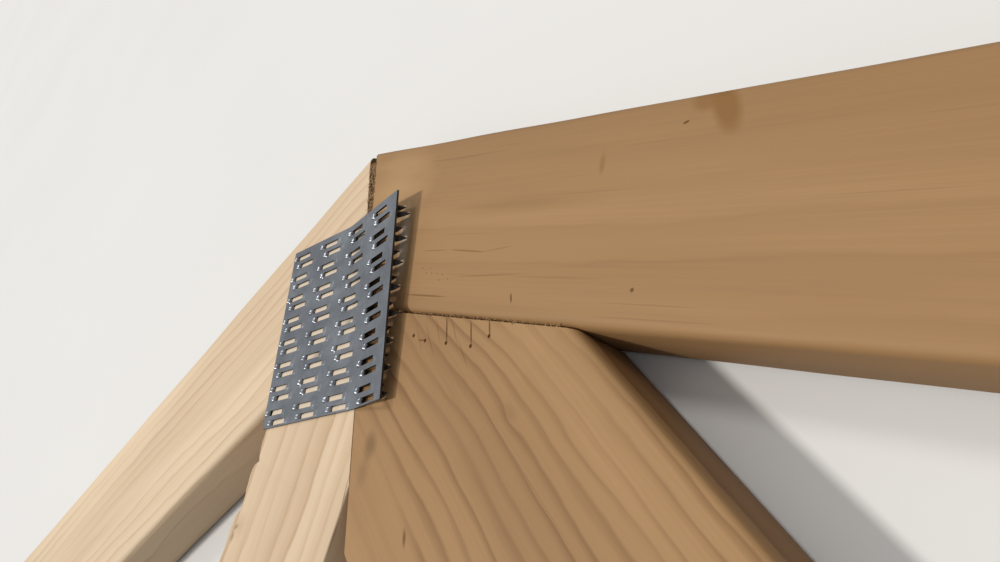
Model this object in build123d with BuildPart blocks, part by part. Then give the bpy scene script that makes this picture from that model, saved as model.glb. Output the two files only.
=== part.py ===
from build123d import *
from math import cos, radians, sin, tan
import os

# A prefabricated timber roof truss of the double W kind, lying on its back nail plates
# x runs along the span, y up the rise and z out through the front face, in millimetres
# The origin is under the middle of the truss, on the floor that it lies on

# Frame: the span over the bottom chord, the eaves tails and the roof's slope
half_span = 4000
eaves_overhang = 450
pitch = 22.5

# Timber sections
timber_thickness = 35
chord_depth = 90
web_depth = 90
wide_web_depth = 140
arris_radius = 4

# Clearances of the sawn joints
joint_gap = 0.6
ridge_gap_top = 5
ridge_gap_bottom = 1
heel_butt = 5
saw_allowance = 260

# Web layout: where the two apex webs leave the chords and how far they lean from plumb
left_apex_reach = 73.2
left_web_lean = 25
right_apex_reach = 126
right_web_lean = 33.8
top_panel_points = (1333, 2667)
outer_bottom_panel_point = 2400
splice_x = -1570

# Wane on the outer front arris of the left apex web
wane_across = 5
wane_down = 14
wane_length = 620
wane_runout = 0.3

# Punched nail plate stock: cells of two slots each, the second staggered along and down
plate_thickness = 1
cell_length = 26
cell_height = 13
slot_length = 11.4
slot_width = 2.9
slot_stagger = 3.8
slot_spacing = 5.5
first_slot_along = 9.85
first_slot_down = 5.1
tooth_length = 9
tooth_point = 4
tooth_clearance = 0.1
torn_clearance = 0.9
flat_margin = 0.05

# Nail plate sizes in cells (along, down) and where they sit
apex_cell_counts = (4, 8)
heel_cell_counts = (4, 5)
top_joint_cell_counts = (3, 4)
bottom_joint_cell_counts = (3, 4)
splice_cell_counts = (4, 5)
heel_plate_inset = 150
back_apex_drop = 100

# The front apex plate: its top left corner from the peak, its skew and its lifted flap
apex_corner_left = 67.2
apex_corner_down = 38.3
apex_skew = 5.8
hinge_top = 50
hinge_bottom = 74.4
hinge_radius = 30
flap_angle = 11

# Worked out levels
slope = tan(radians(pitch))
chord_plumb_depth = chord_depth / cos(radians(pitch))
tail_x = half_span + eaves_overhang
ridge_drop = ridge_gap_top / 2 * slope
truss_height = chord_plumb_depth + tail_x * slope - ridge_drop
peak_y = truss_height / 2 + ridge_drop
apex_underside = peak_y - chord_plumb_depth
bottom_edge_y = apex_underside - half_span * slope - heel_butt
bottom_top_y = bottom_edge_y + chord_depth
timber_back_z = plate_thickness
timber_front_z = timber_back_z + timber_thickness


def underside_point(x):
    """The point on the underside of the top chords at a distance along the span."""
    return (x, apex_underside - abs(x) * slope)


def saw_cut(point, keep_towards):
    """A square saw cut through a point, keeping the timber on the side it faces."""
    return Plane(origin=(*point, 0), z_dir=(*keep_towards, 0))


def plumb_cut(x, keep):
    """A plumb cut half a joint gap clear of x, keeping the timber on the side of keep."""
    return saw_cut((x + keep * joint_gap / 2, 0), (keep, 0))


def underside_cut(side):
    """The cut that fits a timber under the top chord of one side."""
    down = (-side * sin(radians(pitch)), -cos(radians(pitch)))
    seat = (joint_gap * down[0], apex_underside + joint_gap * down[1])
    return saw_cut(seat, down)


def bottom_seat_cut():
    """The cut that stands a web on the bottom chord."""
    return saw_cut((0, bottom_top_y + joint_gap), (0, 1))


def wane_outline(share):
    """The corner of a section that bark edge has taken away, seen from the web's head."""
    margin = 1
    across = wane_across * share
    down = wane_down * share
    return [
        (-margin, margin),
        (across * (1 + margin / down), margin),
        (-margin, -down * (1 + margin / across)),
    ]


def sawn_timber(label, start, end, depth, cuts, toothed=False, waned=False):
    """A straight stick with rounded arrises, sawn by each cut and slit by the apex teeth if toothed."""
    along = Vector(*end) - Vector(*start)
    middle = (Vector(*start) + Vector(*end)) / 2
    stick_plane = Plane(
        origin=(middle.X, middle.Y, timber_back_z), x_dir=along, z_dir=(0, 0, 1)
    )
    with BuildPart() as timber:
        with BuildSketch(stick_plane):
            Rectangle(along.length + 2 * saw_allowance, depth)
        extrude(amount=timber_thickness)
        fillet(timber.edges().filter_by(Axis((0, 0, 0), along)), arris_radius)
        if waned:
            for from_head, share in ((-web_depth, 1), (wane_length, wane_runout)):
                corner = Vector(from_head - along.length / 2, -depth / 2, timber_thickness)
                across_plane = Plane(
                    stick_plane.from_local_coords(corner), x_dir=stick_plane.y_dir, z_dir=along
                )
                with BuildSketch(across_plane):
                    Polygon(*wane_outline(share), align=None)
            loft(mode=Mode.SUBTRACT)
        for cut in cuts:
            split(bisect_by=cut, keep=Keep.TOP)
        if toothed:
            with BuildSketch(*[tooth.offset(-tooth_clearance) for tooth in pressed_teeth]):
                Polygon(*tooth_outline(tooth_clearance), align=None)
            extrude(amount=plate_thickness + 2 * tooth_clearance, mode=Mode.SUBTRACT)
            with BuildSketch(*[torn_slit_plane(tooth) for tooth in lifted_teeth]):
                Polygon(*tooth_outline(torn_clearance), align=None)
            extrude(amount=torn_slit_length, mode=Mode.SUBTRACT)
    timber.part.label = label
    return timber.part


def tooth_outline(clearance):
    """A pointed tooth seen along the plate, rooted inside the sheet and pointing down."""
    half = slot_width / 2 + clearance
    root = plate_thickness / 2
    shoulder = tooth_point - tooth_length
    return [
        (-half, root),
        (-half, shoulder),
        (0, -tooth_length - clearance),
        (half, shoulder),
        (half, root),
    ]


def slot_centres(cells):
    """The centres of the punched slots from the plate's top left corner."""
    centres = []
    for column in range(cells[0]):
        for row in range(cells[1]):
            for second in (0, 1):
                along = column * cell_length + first_slot_along + second * slot_stagger
                down = row * cell_height + first_slot_down + second * slot_spacing
                centres.append((along, -down))
    return centres


# Front apex plate: its flat left part lies on the wood and its flap turns up about the hinge line
apex_size = (apex_cell_counts[0] * cell_length, apex_cell_counts[1] * cell_height)
apex_plane = Plane(
    origin=(-apex_corner_left, peak_y - apex_corner_down, timber_front_z),
    x_dir=(cos(radians(apex_skew)), -sin(radians(apex_skew)), 0),
    z_dir=(0, 0, 1),
)
hinge_start = Vector(hinge_top, 0)
hinge_along = (Vector(hinge_bottom, -apex_size[1]) - hinge_start).normalized()
hinge_across = Vector(-hinge_along.Y, hinge_along.X)
sheet_up = Vector(0, 0, 1)
across_bend = apex_plane.from_local_coords(hinge_across) - apex_plane.origin


def bent_plane(along, down):
    """The tangent plane of the bent plate's underside at a point of the flat blank."""
    across = (Vector(along, down) - hinge_start).dot(hinge_across)
    turn = min(max(across, 0) / hinge_radius, radians(flap_angle))
    beyond = max(across, 0) - hinge_radius * turn
    run = hinge_radius * sin(turn) + beyond * cos(turn)
    rise = hinge_radius * (1 - cos(turn)) + beyond * sin(turn)
    foot = Vector(along, down) - hinge_across * max(across, 0)
    tilted_across = hinge_across * cos(turn) + sheet_up * sin(turn)
    along_axis = tilted_across * hinge_across.X + hinge_along * hinge_along.X
    normal = sheet_up * cos(turn) - hinge_across * sin(turn)
    local = Plane(foot + hinge_across * run + sheet_up * rise, x_dir=along_axis, z_dir=normal)
    return Plane(apex_plane.location * local.location)


def tooth_planes(slot_plane):
    """The planes of the two teeth bent down from the ends of one slot."""
    planes = []
    for end in (-1, 1):
        root = slot_plane.origin + slot_plane.x_dir * (end * slot_length / 2)
        planes.append(
            Plane(root, x_dir=slot_plane.y_dir * end, z_dir=slot_plane.x_dir * end)
        )
    return planes


apex_slots = [bent_plane(*centre) for centre in slot_centres(apex_cell_counts)]
apex_teeth = [tooth for slot in apex_slots for tooth in tooth_planes(slot)]
seated_teeth = [
    tooth
    for tooth in apex_teeth
    if (tooth.origin - tooth.y_dir * tooth_length).Z < timber_front_z
]
pressed_teeth = [tooth for tooth in seated_teeth if tooth.origin.Z < timber_front_z + flat_margin]
lifted_teeth = [tooth for tooth in seated_teeth if tooth not in pressed_teeth]
tooth_swing = tooth_length * sin(radians(flap_angle))
torn_slit_length = plate_thickness + tooth_swing + 2 * torn_clearance


def torn_slit_plane(tooth):
    """The upright plane from which a lifted tooth's torn slit runs along the plate."""
    along = Vector(tooth.z_dir.X, tooth.z_dir.Y).normalized()
    swung_back = along.dot(across_bend) < 0
    behind = torn_clearance + (tooth_swing if swung_back else 0)
    return Plane(tooth.origin - along * behind, x_dir=along.cross(sheet_up) * -1, z_dir=along)


blank_corners = [(0, 0), (hinge_top, 0), (apex_size[0], 0)]
blank_corners += [(apex_size[0], -apex_size[1]), (hinge_bottom, -apex_size[1]), (0, -apex_size[1])]
bent_corners = [bent_plane(*corner).origin for corner in blank_corners]
reach = apex_size[0] + apex_size[1]
bend_profile_plane = Plane(
    apex_plane.from_local_coords(hinge_start),
    x_dir=across_bend,
    z_dir=across_bend.cross(sheet_up),
)

with BuildPart() as apex_plate:
    with BuildSketch(bend_profile_plane):
        with BuildLine():
            flat = Line((-reach, 0), (0, 0))
            bend = JernArc((0, 0), (1, 0), hinge_radius, flap_angle)
            flap = Line(bend @ 1, bend @ 1 + (bend % 1) * reach)
            offset(amount=plate_thickness, side=Side.LEFT)
        make_face()
    extrude(amount=reach, both=True)
    with BuildSketch(Plane.XY):
        Polygon(*[(corner.X, corner.Y) for corner in bent_corners], align=None)
    extrude(amount=timber_front_z + reach, mode=Mode.INTERSECT)
    with BuildSketch(*apex_slots):
        Rectangle(slot_length, slot_width)
    extrude(amount=2 * plate_thickness, both=True, mode=Mode.SUBTRACT)
    with BuildSketch(*apex_teeth):
        Polygon(*tooth_outline(0), align=None)
    extrude(amount=plate_thickness)
apex_plate.part.label = "plate_apex_front"
pieces = [apex_plate.part]


def flat_plate(label, centre, turn, cells, z, punched):
    """A nail plate pressed flat on a face, with or without its punched slots."""
    plate_plane = Plane(
        origin=(*centre, z),
        x_dir=(cos(radians(turn)), sin(radians(turn)), 0),
        z_dir=(0, 0, 1),
    )
    size = (cells[0] * cell_length, cells[1] * cell_height)
    with BuildPart() as plate:
        with BuildSketch(plate_plane):
            Rectangle(*size)
            if punched:
                with Locations((-size[0] / 2, size[1] / 2)):
                    with Locations(*slot_centres(cells)):
                        Rectangle(slot_length, slot_width, mode=Mode.SUBTRACT)
        extrude(amount=plate_thickness)
    plate.part.label = label
    return plate.part


def plate_pair(name, centre, turn, cells):
    """The front and back plates of one joint."""
    return [
        flat_plate(name + "_front", centre, turn, cells, timber_front_z, True),
        flat_plate(name + "_back", centre, turn, cells, 0, False),
    ]


pieces.append(
    flat_plate("plate_apex_back", (0, peak_y - back_apex_drop), 0, apex_cell_counts, 0, False)
)


def apex_web_line(side, reach_out, lean, depth):
    """The centre line of an apex web, from beside the ridge to the bottom chord's top edge."""
    down = Vector(side * sin(radians(lean)), -cos(radians(lean)))
    inward = Vector(-side * cos(radians(lean)), -sin(radians(lean)))
    head = Vector(*underside_point(side * reach_out)) + inward * (depth / 2)
    foot = head + down * ((bottom_top_y - head.Y) / down.Y)
    return (head.X, head.Y), (foot.X, foot.Y)


def half_truss(side, name, reach_out, lean, depth):
    """One side's top chord, four webs and the plates that join them."""
    ridge_lean = (ridge_gap_top - ridge_gap_bottom) / 2
    ridge_cut = saw_cut(
        (side * ridge_gap_top / 2, peak_y), (side * chord_plumb_depth, -ridge_lean)
    )
    to_axis = chord_plumb_depth / 2
    chord_start = (0, peak_y - to_axis)
    chord_end = (side * tail_x, peak_y - to_axis - tail_x * slope)
    parts = [
        sawn_timber(
            "top_chord_" + name,
            chord_start,
            chord_end,
            chord_depth,
            [ridge_cut, plumb_cut(side * (tail_x + joint_gap / 2), -side)],
            toothed=True,
        )
    ]
    apex, first_bottom = apex_web_line(side, reach_out, lean, depth)
    first_top, second_top = [underside_point(side * x) for x in top_panel_points]
    second_bottom = (side * outer_bottom_panel_point, bottom_top_y)
    under = underside_cut(side)
    seat = bottom_seat_cut()
    routes = [
        (apex, first_bottom, depth, (0, first_bottom[0])),
        (first_bottom, first_top, web_depth, (first_bottom[0], first_top[0])),
        (first_top, second_bottom, web_depth, (first_top[0], second_bottom[0])),
        (second_bottom, second_top, web_depth, (second_bottom[0],)),
    ]
    for number, (start, end, web_width, meetings) in enumerate(routes, 1):
        cuts = [under, seat]
        cuts += [plumb_cut(x, keep) for x, keep in zip(meetings, (side, -side))]
        label = "web_" + name + "_" + str(number)
        toothed = number == 1
        waned = toothed and side < 0
        parts.append(sawn_timber(label, start, end, web_width, cuts, toothed, waned))
    turn = -side * pitch
    heel = underside_point(side * (half_span - heel_plate_inset))
    parts += plate_pair("plate_heel_" + name, heel, turn, heel_cell_counts)
    for number, joint in enumerate((first_top, second_top), 1):
        label = "plate_top_" + name + "_" + str(number)
        parts += plate_pair(label, joint, turn, top_joint_cell_counts)
    for number, joint in enumerate((first_bottom, second_bottom), 1):
        label = "plate_bottom_" + name + "_" + str(number)
        parts += plate_pair(label, joint, 0, bottom_joint_cell_counts)
    return parts


pieces += half_truss(-1, "left", left_apex_reach, left_web_lean, web_depth)
pieces += half_truss(1, "right", right_apex_reach, right_web_lean, wide_web_depth)

# Bottom chord in two lengths, each sawn on the slope under its top chord with a short plumb butt
chord_axis_y = bottom_edge_y + chord_depth / 2
for side, name in ((-1, "left"), (1, "right")):
    ends = sorted((splice_x, side * half_span))
    heel_cuts = [underside_cut(side), plumb_cut(side * (half_span + joint_gap / 2), -side)]
    pieces.append(
        sawn_timber(
            "bottom_chord_" + name,
            (ends[0], chord_axis_y),
            (ends[1], chord_axis_y),
            chord_depth,
            heel_cuts + [plumb_cut(splice_x, side)],
        )
    )
pieces += plate_pair("plate_splice", (splice_x, chord_axis_y), 0, splice_cell_counts)

os.makedirs("parts", exist_ok=True)
for piece in pieces:
    export_step(piece, "parts/" + piece.label + ".step")
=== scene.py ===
"""Dresses the roof truss: sawn pine, zinc-coated nail plates and the lifted plate at the apex."""

import bpy
import bmesh
from math import atan2, cos, pi, radians, sin, tan
from mathutils import Matrix, Vector, noise
from random import Random


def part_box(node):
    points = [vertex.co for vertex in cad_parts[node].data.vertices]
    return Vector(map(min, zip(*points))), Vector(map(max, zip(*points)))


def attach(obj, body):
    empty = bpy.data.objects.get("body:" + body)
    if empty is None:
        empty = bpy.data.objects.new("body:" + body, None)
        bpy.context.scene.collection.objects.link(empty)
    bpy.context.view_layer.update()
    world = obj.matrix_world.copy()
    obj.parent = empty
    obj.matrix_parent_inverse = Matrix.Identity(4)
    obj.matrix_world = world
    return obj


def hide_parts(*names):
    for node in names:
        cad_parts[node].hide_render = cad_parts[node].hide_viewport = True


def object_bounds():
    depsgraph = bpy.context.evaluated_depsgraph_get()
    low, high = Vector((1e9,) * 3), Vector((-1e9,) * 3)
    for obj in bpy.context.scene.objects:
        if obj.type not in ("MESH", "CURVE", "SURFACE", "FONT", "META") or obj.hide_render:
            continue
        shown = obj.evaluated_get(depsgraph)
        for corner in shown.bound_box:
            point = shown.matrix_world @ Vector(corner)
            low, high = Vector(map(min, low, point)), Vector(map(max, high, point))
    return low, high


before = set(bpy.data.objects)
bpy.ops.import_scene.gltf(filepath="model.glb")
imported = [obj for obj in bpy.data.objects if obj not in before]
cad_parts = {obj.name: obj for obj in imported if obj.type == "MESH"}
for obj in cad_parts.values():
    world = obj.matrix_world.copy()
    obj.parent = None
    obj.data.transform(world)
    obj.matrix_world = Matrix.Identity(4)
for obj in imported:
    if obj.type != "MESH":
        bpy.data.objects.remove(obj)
cad_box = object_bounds()

# Sizes of the truss in metres, as its solids have them
MM = 0.001
TO_MM = 1000
PITCH = radians(22.5)
SLOPE = tan(PITCH)
HALF_SPAN = 4000 * MM
CHORD_DEPTH = 90 * MM
WEB_DEPTH = 90 * MM
WIDE_WEB_DEPTH = 140 * MM
THICKNESS = 35 * MM
PLATE = 1 * MM
ARRIS = 4 * MM
JOINT_GAP = 0.6 * MM
RIDGE_GAP_TOP = 5 * MM
RIDGE_GAP_BOTTOM = 1 * MM
HEEL_BUTT = 5 * MM
FRONT_Z = PLATE + THICKNESS
PEAK_Y = cad_box[1].y + RIDGE_GAP_TOP / 2 * SLOPE
CHORD_PLUMB = CHORD_DEPTH / cos(PITCH)
UNDERSIDE_Y = PEAK_Y - CHORD_PLUMB
BOTTOM_TOP_Y = UNDERSIDE_Y - HALF_SPAN * SLOPE - HEEL_BUTT + CHORD_DEPTH
TAIL_X = cad_box[1].x

# Apex timbers of each side: side, name, the web's reach from the peak, its lean and its depth
APEX_SIDES = (
    (-1, "left", 73.2 * MM, radians(25), WEB_DEPTH),
    (1, "right", 126 * MM, radians(33.8), WIDE_WEB_DEPTH),
)

# Timber meshes: fine stations near the head, coarse ones beyond, and slightly uneven arrises
NEAR_HEAD = 260 * MM
OVERRUN = 260 * MM
NEAR_STEP = 2.5 * MM
FAR_STEP = 40 * MM
CORNER_STEPS = 4
ARRIS_VARIETY = 0.22
CRISP_SHARE = 0.25
CRISP_CORNERS = {"web_left_1": 1, "web_right_1": 0}

# Wane on the left apex web: bites as (distance from its head, depth), then an edge that fades.
# Bites and the wane's depth, in and down, are in millimetres.
BITES = (
    (-300, 1), (12, 1), (20, 1.4), (27, 3), (30.5, 5.8), (33, 1.5), (39, 0.9), (46, 2.4),
    (51, 3.8), (56, 4.4), (58.5, 1.3), (66, 0.7), (71, 1.8), (77, 2), (84, 1.4), (96, 1.6),
)
WANE_DEPTH = 3.5
WANE_DOWN = 14
WANE_LENGTH = 620 * MM
WANE_RUNOUT = 0.3

# Punched plate stock
CELL_LENGTH = 26 * MM
CELL_HEIGHT = 13 * MM
SLOT_OPENING = 11.4 * MM
SLOT_WIDTH = 2.9 * MM
FIRST_SLOT = (9.85 * MM, 5.1 * MM)
SECOND_SLOT = (13.65 * MM, 10.6 * MM)
APEX_CELLS = (4, 8)
PLATE_CELLS = {"apex": APEX_CELLS, "heel": (4, 5), "splice": (4, 5), "top": (3, 4), "bottom": (3, 4)}
SHEET_STEP = 4 * MM
APEX_SHEET_STEP = 2.6 * MM
SLOT_ROWS = 4
APEX_SLOT_ROWS = 6
TINY = 1e-7

# Lips: height beside the end of a slot as (distance, share of the crown), highest in the middle
LIP_CROWN = 1.05 * MM
LIP_PROFILE = (
    (0.0, 0.51),
    (0.4 * MM, 0.69),
    (0.9 * MM, 0.87),
    (1.4 * MM, 1.0),
    (1.8 * MM, 0.88),
    (2.3 * MM, 0.4),
    (2.7 * MM, 0.0),
)
LIP_ROLL = 0.7
LIP_SIDE = 0.25 * MM
LIP_TRAIL = 0.6 * MM
RIGHT_LIP_SHARE = 0.2
LIP_VARIETY = (0.9, 1.2)

# Teeth: rooted in a bend, then stations of (share of the depth, width share, cup and curl in mm)
ROOT_RADIUS = 0.75 * MM
TOOTH_LENGTH = 9.4 * MM
SEATED_TOOTH = 2.2 * MM
PULLED_OUT = 3 * MM
TOOTH_BENDS = 6
TOOTH_STATIONS = ((0.25, 1, 0.8, 0.5), (0.5, 0.8, 1, 1.7), (0.75, 0.42, 0.6, 3.6), (1, 0.03, 0, 6.2))
BEND_CUP = 0.06 * MM
SEATED_CUP = 0.4 * MM
STRAIGHT_SHARE = 0.2
TOOTH_TWIST = radians(40)
TOOTH_LEAN = 1.6 * MM
LEANS_ALONG = (-0.5, 1)
LEANS_DOWN = (-1.4, 0.5)
TIP_SHARE = 0.15

# The lifted front apex plate
APEX_CORNER = Vector((-67.2 * MM, PEAK_Y - 38.3 * MM, FRONT_Z))
APEX_SKEW = radians(5.8)
APEX_ALONG = Vector((cos(APEX_SKEW), -sin(APEX_SKEW), 0))
APEX_DOWN = Vector((-sin(APEX_SKEW), -cos(APEX_SKEW), 0))
HINGE_TOP = 50 * MM
HINGE_BOTTOM = 74.4 * MM
HINGE_RADIUS = 30 * MM
FLAP_ANGLE = radians(11)

# Wood that the flat part of that plate covers, made paler there as painted light: its middle and half its
# size, along and down the plate
COVERED_MIDDLE = (37.5 * MM, 52 * MM)
COVERED_HALF = (37 * MM, 51.5 * MM)
UNDER_PLATE_LIGHT_SHARE = 0.7

# Torn fibres: how deep they root, how far they lean out, and how their sizes vary
FIBRE_ROOTS = (-2.2 * MM, 0.1 * MM)
FIBRE_LEANS = (0.0, 0.5)
FIBRE_LENGTHS = (0.4, 1.2)
FIBRE_WIDTHS = (0.5, 1.3)
FIBRE_RIDGE = 0.6

# Wood colours: early and late wood of each kind, then the tints of its marks
CREAM = ((0.67, 0.52, 0.36), (0.50, 0.34, 0.195))
# Tan is a browner pine, made darker still as painted shade; the right apex timbers take it
TAN = ((0.34, 0.195, 0.083), (0.23, 0.117, 0.042))
MID = ((0.54, 0.375, 0.215), (0.38, 0.23, 0.11))
DARK = (0.06, 0.025, 0.006)
SAWN = (0.14, 0.072, 0.028)
RUST = (0.225, 0.107, 0.026)
# Painted light: the warm tone of a pool of light by the peak
PEAK_LIGHT_POOL = (0.55, 0.35, 0.16)
# Painted light: the pale tone of lit wood, laid under the apex plate and beside its flap
UNDER_PLATE_LIGHT = (0.68, 0.58, 0.46)
SOIL = (0.16, 0.10, 0.06)
SMUDGE = (0.17, 0.09, 0.032)
SMUDGE_EDGE = (0.18, 0.093, 0.034)
SMUDGE_FAINT = (0.19, 0.095, 0.036)

# Pine: sheen, and what a look has where it says nothing else
SHEEN = 0.35
WAVER = 8.0
UNEVEN_YEARS = 1.5
LATE_WOOD = (0.4, 0.5, 0.75)


def at_apex(x, rise, out=0.0):
    """A point near the apex, in millimetres from the peak on the front face."""
    return Vector((x * MM, PEAK_Y + rise * MM, FRONT_Z + out * MM))


# Node building


def add_node(tree, kind, values=None, **settings):
    """Adds a shader node, sets its properties, and sets or links its inputs."""
    made = tree.nodes.new(kind)
    for key, value in settings.items():
        setattr(made, key, value)
    for key, value in (values or {}).items():
        if isinstance(value, bpy.types.NodeSocket):
            tree.links.new(value, made.inputs[key])
        else:
            made.inputs[key].default_value = value
    return made


def maths(tree, operation, *values, clamp=False):
    """A Math node's result."""
    made = add_node(tree, "ShaderNodeMath", dict(enumerate(values)), operation=operation)
    made.use_clamp = clamp
    return made.outputs[0]


def plus(tree, first, second):
    """The sum of two values."""
    return maths(tree, "ADD", first, second)


def minus(tree, first, second):
    """The first value less the second."""
    return maths(tree, "SUBTRACT", first, second)


def times(tree, first, second):
    """The product of two values."""
    return maths(tree, "MULTIPLY", first, second)


def distance(tree, across, out):
    """The length of a step across and out."""
    return maths(tree, "SQRT", plus(tree, times(tree, across, across), times(tree, out, out)))


def ramp(tree, value, *stops):
    """Maps a value through colour stops of (position, colour)."""
    made = add_node(tree, "ShaderNodeValToRGB", {"Fac": value})
    elements = made.color_ramp.elements
    while len(elements) < len(stops):
        elements.new(0.5)
    for element, (position, colour) in zip(elements, stops):
        element.position = position
        element.color = (*colour, 1)
    return made.outputs["Color"]


def grey_ramp(tree, value, *stops):
    """Maps a value through stops of (position, value)."""
    made = ramp(tree, value, *[(position, (level,) * 3) for position, level in stops])
    return add_node(tree, "ShaderNodeRGBToBW", {"Color": made}).outputs[0]


def mix(tree, factor, first, second, blend="MIX"):
    """A colour mix of two sockets or colours."""
    made = add_node(tree, "ShaderNodeMix", data_type="RGBA", blend_type=blend)
    for key, value in ((0, factor), (6, first), (7, second)):
        if isinstance(value, bpy.types.NodeSocket):
            tree.links.new(value, made.inputs[key])
        else:
            made.inputs[key].default_value = value if key == 0 else (*value, 1)
    return made.outputs[2]


def stretched_noise(tree, vector, scale, detail=3.0, rough=0.5):
    """Noise of a vector stretched by a scale for each axis."""
    placed = add_node(tree, "ShaderNodeMapping", {"Vector": vector, "Scale": scale}).outputs[0]
    values = {"Vector": placed, "Scale": 1.0, "Detail": detail, "Roughness": rough}
    return add_node(tree, "ShaderNodeTexNoise", values).outputs["Fac"]


def object_coords(tree):
    """Coordinates in the truss's own frame, in metres."""
    return add_node(tree, "ShaderNodeTexCoord").outputs["Object"]


def in_millimetres(tree):
    """Coordinates in the truss's own frame, in millimetres."""
    values = {"Vector": object_coords(tree), "Scale": (TO_MM,) * 3}
    return add_node(tree, "ShaderNodeMapping", values).outputs[0]


def placed_coords(tree, coords, point, turn, size):
    """Coordinates about a point, turned in the truss's plane and in units of a size."""
    values = {"Vector": coords, "Location": tuple(point), "Rotation": (0, 0, turn), "Scale": size}
    return add_node(tree, "ShaderNodeMapping", values, vector_type="TEXTURE").outputs[0]


def ellipse_distance(tree, coords, point, size, turn):
    """Distance from a point, in units of an ellipse's half axes."""
    placed = placed_coords(tree, coords, point, turn, size)
    return add_node(tree, "ShaderNodeVectorMath", {0: placed}, operation="LENGTH").outputs["Value"]


def new_material(name):
    """An empty node material with its shader and output."""
    material = bpy.data.materials.new(name)
    material.use_nodes = True
    tree = material.node_tree
    tree.nodes.clear()
    shader = add_node(tree, "ShaderNodeBsdfPrincipled")
    output = add_node(tree, "ShaderNodeOutputMaterial")
    tree.links.new(shader.outputs[0], output.inputs[0])
    return material, tree, shader


def set_bump(tree, shader, height, strength):
    """Fine relief from a height."""
    values = {"Height": height, "Strength": strength, "Distance": 0.2 * MM}
    bump = add_node(tree, "ShaderNodeBump", values)
    tree.links.new(bump.outputs[0], shader.inputs["Normal"])


# Pine


def board_coords(tree, coords, origin, along):
    """Coordinates in millimetres along, across and out of a board that lies along a direction."""
    turn = -atan2(along[1], along[0])
    rotated = Matrix.Rotation(turn, 3, "Z") @ Vector((origin[0], origin[1], 0))
    values = {
        "Vector": coords,
        "Scale": (TO_MM,) * 3,
        "Rotation": (0, 0, turn),
        "Location": (-rotated.x * TO_MM, -rotated.y * TO_MM, 0),
    }
    return add_node(tree, "ShaderNodeMapping", values).outputs[0]


def ring_radius(tree, board, shifted, look):
    """Distance from the log's wandering heart, each ring's waver, and how far the dark knots reach."""
    x, y, z = add_node(tree, "ShaderNodeSeparateXYZ", {"Vector": board}).outputs
    wander = stretched_noise(tree, shifted, (0.0022, 0.004, 0.004), 2.0)
    waver = stretched_noise(tree, shifted, (0.017, 0.06, 0.06), 3.0)
    sway = times(tree, minus(tree, wander, 0.5), 40.0)
    shake = times(tree, minus(tree, waver, 0.5), look.get("waver", WAVER))
    pith_across, pith_out = look["pith"]
    off_y = plus(tree, minus(tree, y, pith_across), sway)
    radius = plus(tree, distance(tree, off_y, minus(tree, z, pith_out)), shake)
    knot_reach = None
    for knot_along, knot_across, size, is_dark in look.get("knots", ()):
        dx = times(tree, minus(tree, x, knot_along), 0.62)
        near = distance(tree, dx, minus(tree, y, knot_across))
        near = plus(tree, near, times(tree, shake, 0.3))
        falling = maths(tree, "EXPONENT", maths(tree, "DIVIDE", near, -1.6 * size))
        radius = plus(tree, radius, times(tree, falling, 2.2 * size))
        if is_dark:
            reach = maths(tree, "DIVIDE", near, size)
            knot_reach = reach if knot_reach is None else maths(tree, "MINIMUM", knot_reach, reach)
    return radius, waver, knot_reach


def ring_shares(tree, coords, shifted, radius, look):
    """How much late wood's colour shows, in each year's soft band and in the thin line that ends it."""
    moved = plus(tree, radius, look["seed"] * 37)
    year_span = add_node(tree, "ShaderNodeCombineXYZ", {"X": moved}).outputs[0]
    uneven = stretched_noise(tree, year_span, (0.7 / look["ring"], 1, 1), 1.0)
    years = maths(tree, "DIVIDE", radius, look["ring"])
    if "narrowing" in look:
        years = times(tree, years, maths(tree, "DIVIDE", radius, 2 * look["narrowing"]))
    spread = times(tree, uneven, look.get("uneven", UNEVEN_YEARS))
    phase = maths(tree, "FRACT", plus(tree, years, spread))
    patchy = stretched_noise(tree, shifted, (0.004, 0.04, 0.04), 2.0)
    faded = times(tree, grey_ramp(tree, patchy, (0.34, 0.3), (0.6, 1.0)), look["contrast"])
    for point, size, turn in look.get("plain", ()):
        far = ellipse_distance(tree, coords, point, size, turn)
        faded = times(tree, faded, grey_ramp(tree, far, (0.5, 0.12), (1.0, 1.0)))
    start, peak, line_peak = look.get("late_wood", LATE_WOOD)
    band_stops = ((0.0, 0.8 * peak), (0.12, 0.0), (start, 0.05), (0.85, 0.85 * peak), (1.0, peak))
    line_stops = ((0.0, 0.8 * line_peak), (0.07, 0.0), (0.84, 0.0), (0.94, line_peak), (1.0, line_peak))
    late_share = times(tree, grey_ramp(tree, phase, *band_stops), faded)
    line_share = times(tree, grey_ramp(tree, phase, *line_stops), times(tree, faded, faded))
    return late_share, line_share


def scaled(colour, share):
    """A colour made darker."""
    return tuple(share * part for part in colour)


def knot_face(tree, colour, knot_reach, late):
    """Paints the rings inside dark knots."""
    rings = ((0.0, 0.42), (0.3, 0.66), (0.5, 0.5), (0.7, 0.62), (0.88, 0.34), (1.0, 0.2))
    inside = ramp(tree, knot_reach, *[(place, scaled(late, share)) for place, share in rings])
    return mix(tree, grey_ramp(tree, knot_reach, (0.93, 1.0), (1.0, 0.0)), colour, inside)


def under_plate(tree, coords):
    """One on the wood that the flat part of the apex plate lies on, and nothing elsewhere."""
    middle = APEX_CORNER + APEX_ALONG * COVERED_MIDDLE[0] + APEX_DOWN * COVERED_MIDDLE[1]
    placed = placed_coords(tree, coords, middle, -APEX_SKEW, (*COVERED_HALF, 1))
    u, v, _ = add_node(tree, "ShaderNodeSeparateXYZ", {"Vector": placed}).outputs
    far = maths(tree, "MAXIMUM", maths(tree, "ABSOLUTE", u), maths(tree, "ABSOLUTE", v))
    return grey_ramp(tree, far, (0.97, 1.0), (1.0, 0.0))


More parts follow.
